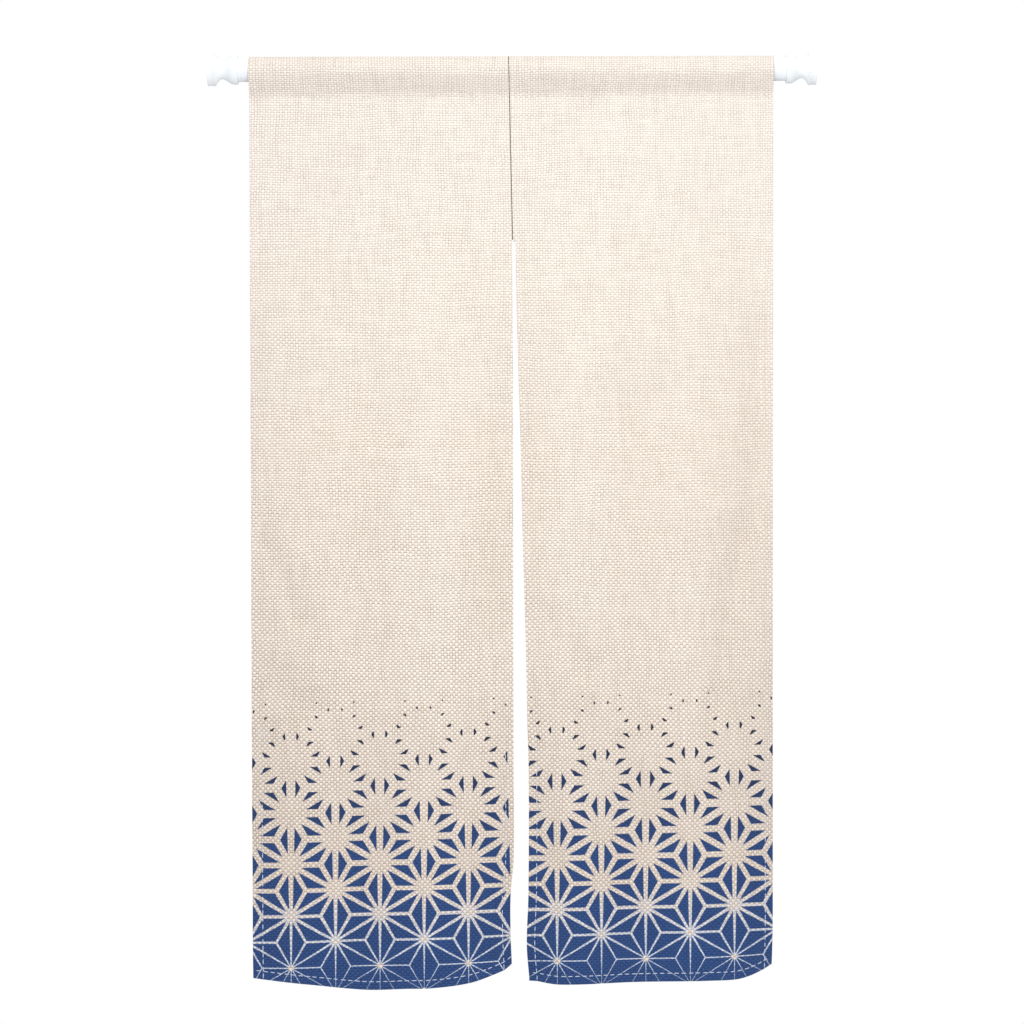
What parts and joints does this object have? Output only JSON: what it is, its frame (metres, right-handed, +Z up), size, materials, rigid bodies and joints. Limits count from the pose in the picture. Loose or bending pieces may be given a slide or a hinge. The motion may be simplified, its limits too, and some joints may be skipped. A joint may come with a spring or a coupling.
{
  "type": "noren curtain on a tension rod",
  "caption": "Split doorway curtain of plain-woven cloth with a printed hemp-leaf border, hanging by its rod pocket from a white tension rod.",
  "frame": {"origin": "centre of the left foot's outer face, on the rod's axis", "axes": "+X along the rod to the right foot, -Y is the printed front, +Z up"},
  "size_m": [0.988, 0.0557, 1.5222],
  "materials": {
    "cloth": "coarse plain weave in cream, with a blue printed border",
    "rod_tube": "smooth white",
    "end_cap": "white",
    "foot_pad": "soft white"
  },
  "bodies": {
    "root": {"left_panel": "cloth", "right_panel": "cloth", "rod_tube": "rod_tube", "left_end_cap": "end_cap", "right_end_cap": "end_cap", "left_foot_pad": "foot_pad", "right_foot_pad": "foot_pad"}
  },
  "joints": []
}
